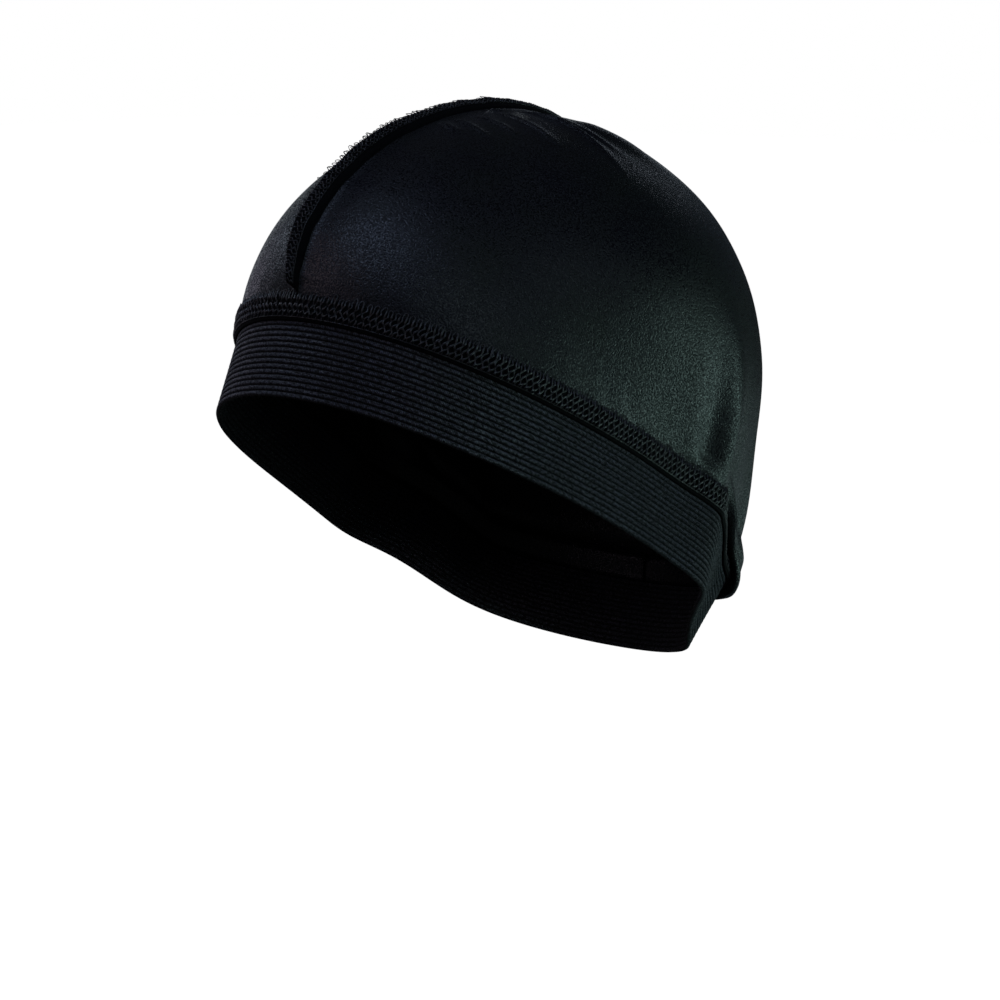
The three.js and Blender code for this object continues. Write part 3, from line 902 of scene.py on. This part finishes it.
def serged_ring(material):
    pitch = RING_ROUND / RING_STITCHES

    def face(along, upward, off):
        return ring_place(along, upward, np.interp(upward, *RING_FACE) + off)

    path, radius = looper(RING_STITCHES, pitch, face, *RING_LOOPS, slant=0.55, overshoot=1.8)
    needle = ring_place(*needle_run(RING_STITCHES, pitch, RING_NEEDLE_HEIGHT, RING_NEEDLE_OFF))
    parts = [ring_core(), tube(path, radius), tube(needle, RING_NEEDLE_RADIUS, closed=True)]
    points, faces = joined(parts)
    obj = make_mesh("serged_band_seam", points, faces, material)
    edged(obj, len(parts[0][1]))
    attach(obj, "root")
    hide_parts("band_seam")
    return obj


serged_ring(thread)

# Serged fin along the centre seam

FIN_HEIGHT = 6.4
FIN_HEIGHT_WAVE = 0.04
FIN_STEM = 0.8
FIN_ROOT = 0.6  # how deep the core reaches below the crown's face
# lean at the blade's foot and at its edge, towards the wearer's right
FIN_FRONT_LEANS = (25, 62)
FIN_TOP_LEANS = (50, 74)
FIN_LEAN_CHANGE = (-60, -10)  # from front to back, where the one pair passes into the other
FIN_SWAY_SHARES = (0.5, 1.5)  # how much of the wandering lean the foot and the edge take
FIN_STRAIGHT = 1e-4
FIN_CORE_ROWS = 330
FIN_LOW_SHARE = 0.4  # share of full height at the ring, at the front
FIN_FOOT_RISE = (-0.6, 3.2)
FIN_STITCH = 2.3
FIN_END = 3  # how far from the seam's ends the thread starts and stops
# share of the blade's height, and how far the face that the looper thread lies on is off its middle
FIN_FACE = ([0, 0.8, 0.95, 1.1], [0.5, 0.42, 0.28, 0.08])
FIN_LOOPS = (0.42, 0.88)  # the looper thread's lowest and highest line, in shares of height
FIN_LOOP_RADIUS = 0.26
FIN_LOOP_THINNING = 0.8
FIN_NEEDLE_SHARE = 0.42
FIN_NEEDLE_OFF = (0.42, 0.6, 0.6)
FIN_NEEDLE_RADIUS = 0.16


def seam_line():
    """The crown's centre line from front to back, and the fin's height share along it."""
    ends = np.array([0.0, 180.0])
    front, back = [], []
    for kind, value in FINE_ROWS[STRIP_ROWS:]:
        a, b = crown_row(1, ends, kind, value)
        height = POUCH_TOP * value / POUCH_LAST
        if kind == "dome":
            front.append((*a, 1))
            back.append((*b, 1))
        else:
            low = FIN_LOW_SHARE + (1 - FIN_LOW_SHARE) * height / POUCH_TOP
            front.append((*a, low * smooth(*FIN_FOOT_RISE, height)))
            back.append((*b, smooth(POUCH_SIDE_ROW, POUCH_LAST, value)))
    line = np.array([*front, (0, APEX_Y, APEX_Z, 1), *back[::-1]])
    line[:, 0] = 0
    return line[line[:, 3] > 0]


SEAM = seam_line()
seam_steps = np.linalg.norm(np.diff(SEAM[:, :3], axis=0), axis=1)
SEAM_ALONG = np.concatenate([[0], np.cumsum(seam_steps)])
SEAM_LENGTH = SEAM_ALONG[-1]


def fin_place(along, upward, off):
    """A place on the fin: along the seam, up its blade in shares of full height, off its middle."""
    s = np.clip(along, 0, SEAM_LENGTH)
    y, z, share = [np.interp(s, SEAM_ALONG, SEAM[:, k]) for k in (1, 2, 3)]
    dy = np.interp(s, SEAM_ALONG, np.gradient(SEAM[:, 1], SEAM_ALONG))
    dz = np.interp(s, SEAM_ALONG, np.gradient(SEAM[:, 2], SEAM_ALONG))
    size = np.hypot(dy, dz)
    dy, dz = dy / size, dz / size
    sway = 2.5 * waves(s, period=38, seed=70) + 2 * waves(s, period=13, seed=71)
    passed = smooth(*FIN_LEAN_CHANGE, y)
    leans = zip(FIN_FRONT_LEANS, FIN_TOP_LEANS, FIN_SWAY_SHARES)
    low, high = [np.radians(a + (b - a) * passed + taken * sway) for a, b, taken in leans]
    reach = FIN_HEIGHT * share * (1 + FIN_HEIGHT_WAVE * waves(s, period=21, seed=72))
    turn = low + (high - low) * np.maximum(upward, 0)
    bend = np.where(np.abs(high - low) < FIN_STRAIGHT, FIN_STRAIGHT, high - low)
    side = (np.cos(low) - np.cos(turn)) / bend * -reach
    rise = (np.sin(turn) - np.sin(low)) / bend * reach
    stem = FIN_STEM * smooth(0, 0.3, share)
    rise = rise + stem + np.minimum(upward, 0) * (stem + FIN_ROOT)
    x = side + np.cos(turn) * off
    h = rise + np.sin(turn) * off
    return np.stack([x, y - dz * h, z + dy * h], -1)


# share of the blade's height and how far off its middle; below 0 is the root
FIN_SECTION = [
    (-1.0, 0.55),
    (0.0, 0.55),
    (0.25, 0.5),
    (0.55, 0.46),
    (0.8, 0.42),
    (0.93, 0.3),
    (0.97, 0.0),
]


def fin_core():
    along = np.linspace(0, SEAM_LENGTH, FIN_CORE_ROWS)
    section = FIN_SECTION + [(share, -off) for share, off in FIN_SECTION[-2::-1]]
    upward = np.array([p[0] for p in section])
    off = np.array([p[1] for p in section])
    s = along[:, None] + 0 * upward
    points = fin_place(s, upward + 0 * s, off + 0 * s).reshape(-1, 3)
    faces = grid_faces(len(along), len(section), closed_columns=True).tolist()
    return points, faces + end_caps(len(points), len(section))


def serged_fin(material):
    stitched = SEAM_LENGTH - 2 * FIN_END
    stitches = round(stitched / FIN_STITCH)
    pitch = stitched / stitches
    parts = [fin_core()]
    for side in (1, -1):

        def face(along, upward, off, side=side):
            return fin_place(along + FIN_END, upward, side * (np.interp(upward, *FIN_FACE) + off))

        path, radius = looper(stitches, pitch, face, *FIN_LOOPS, slant=0.3, overshoot=4.5)
        parts.append(tube(path, np.minimum(radius, FIN_LOOP_RADIUS) * FIN_LOOP_THINNING))
        along, share, off = needle_run(stitches, pitch, FIN_NEEDLE_SHARE, FIN_NEEDLE_OFF)
        parts.append(tube(fin_place(along + FIN_END, share, side * off), FIN_NEEDLE_RADIUS))
    points, faces = joined(parts)
    obj = make_mesh("serged_crown_seam", points, faces, material)
    edged(obj, len(parts[0][1]))
    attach(obj, "root")
    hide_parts("crown_seam")
    return obj


serged_fin(thread)

# Floor, light and camera

FLOOR_HEIGHT = -0.4  # in metres
FLOOR_HALF_WIDTH = 9000


def floor():
    material, tree, out = shader("pale_floor")
    shades = [(0.3, (0.86, 0.86, 0.86)), (0.7, (0.9, 0.9, 0.9))]
    pale = ramp(tree, noise(tree, object_place(tree), scale=3), shades)
    tree.links.new(pale, out.inputs["Base Color"])
    out.inputs["Roughness"].default_value = 0.9
    out.inputs["Emission Color"].default_value = (1, 1, 1, 1)
    out.inputs["Emission Strength"].default_value = 1.0
    signs = [(-1, -1), (1, -1), (1, 1), (-1, 1)]
    corners = [(x * FLOOR_HALF_WIDTH, y * FLOOR_HALF_WIDTH, 0) for x, y in signs]
    obj = make_mesh("floor", corners, [[0, 1, 2, 3]], material, flat=True)
    obj.location.z = FLOOR_HEIGHT
    obj.visible_diffuse = False
    obj.visible_glossy = False


floor()


def area_light(name, place, aim, size, power, colour):
    data = bpy.data.lights.new(name, "AREA")
    data.shape = "RECTANGLE"
    data.size, data.size_y = size
    data.energy = power
    data.color = colour
    obj = bpy.data.objects.new(name, data)
    bpy.context.scene.collection.objects.link(obj)
    obj.location = place
    obj.rotation_mode = "QUATERNION"
    obj.rotation_quaternion = (Vector(aim) - Vector(place)).to_track_quat("-Z", "Y")


CAMERA_AZIMUTH = 40
CAMERA_ELEVATION = 7
CAMERA_DISTANCE = 1100
CAMERA_LENS = 117.7
TARGET_HEIGHT = 50
AIM_RIGHT = 7.4
AIM_UP = -41

azimuth, elevation = math.radians(CAMERA_AZIMUTH), math.radians(CAMERA_ELEVATION)
back = Vector((math.sin(azimuth), -math.cos(azimuth), math.tan(elevation))).normalized()
right = Vector((math.cos(azimuth), math.sin(azimuth), 0))
up = back.cross(right)
target = Vector((0, 0, TARGET_HEIGHT)) * MM


def seen(rightward, upward, backward):
    """A place given from the cap as the camera sees it, in metres."""
    return target + right * rightward + up * upward + back * backward


# name, place as seen by the camera, width and height in metres, power in watts, colour
LIGHTS = [
    ("right_softbox", (0.76, -0.2, 0.0), (0.42, 0.34), 1.15, (0.64, 1.0, 0.93)),
    ("right_behind", (0.55, -0.2, -0.62), (0.4, 0.2), 0.09, (0.72, 1.0, 0.98)),
    ("front_fill", (0.5, 0.35, 0.95), (0.6, 0.6), 0.75, (0.66, 0.85, 1.0)),
    ("blue_top", (-0.3, 0.85, 0.55), (0.48, 0.4), 1.45, (0.52, 0.66, 1.0)),
    ("left_window", (-0.9, 0.35, 0.4), (0.5, 0.6), 0.65, (1.0, 0.82, 1.0)),
    ("left_top", (-0.72, 0.52, -0.4), (0.4, 0.3), 0.7, (0.7, 0.82, 1.0)),
    ("left_behind", (-0.6, 0.1, -0.8), (0.4, 0.4), 0.25, (0.85, 0.8, 1.0)),
    ("back_softbox", (-0.1, 0.2, -1.25), (0.7, 0.6), 0.5, (0.85, 0.95, 1.0)),
    ("top_behind", (0.35, 0.55, -0.85), (0.35, 0.12), 0.13, (0.75, 0.84, 1.0)),
]
for light_name, light_place, light_size, power, colour in LIGHTS:
    area_light(light_name, seen(*light_place), target, light_size, power, colour)

world = bpy.data.worlds.new("studio")
bpy.context.scene.world = world
world.use_nodes = True
tree = world.node_tree
shown = tree.nodes["Background"]
shown.inputs["Color"].default_value = (1, 1, 1, 1)
shown.inputs["Strength"].default_value = 1.0
lighting = tree.nodes.new("ShaderNodeBackground")
lighting.inputs["Color"].default_value = (0.9, 0.95, 1, 1)
lighting.inputs["Strength"].default_value = 0.016
mix = tree.nodes.new("ShaderNodeMixShader")
path = tree.nodes.new("ShaderNodeLightPath")
tree.links.new(path.outputs["Is Camera Ray"], mix.inputs["Fac"])
tree.links.new(lighting.outputs["Background"], mix.inputs[1])
tree.links.new(shown.outputs["Background"], mix.inputs[2])
tree.links.new(mix.outputs["Shader"], tree.nodes["World Output"].inputs["Surface"])

bpy.context.scene.view_settings.view_transform = "Standard"

camera_data = bpy.data.cameras.new("camera")
camera_data.lens = CAMERA_LENS
camera_data.sensor_width = 36
camera_data.clip_start = 0.05
camera_data.clip_end = 20
camera = bpy.data.objects.new("camera", camera_data)
bpy.context.scene.collection.objects.link(camera)
camera.location = target + back * CAMERA_DISTANCE * MM
look_at = target + (right * AIM_RIGHT + up * AIM_UP) * MM
camera.rotation_mode = "QUATERNION"
camera.rotation_quaternion = (look_at - camera.location).to_track_quat("-Z", "Y")
bpy.context.scene.camera = camera
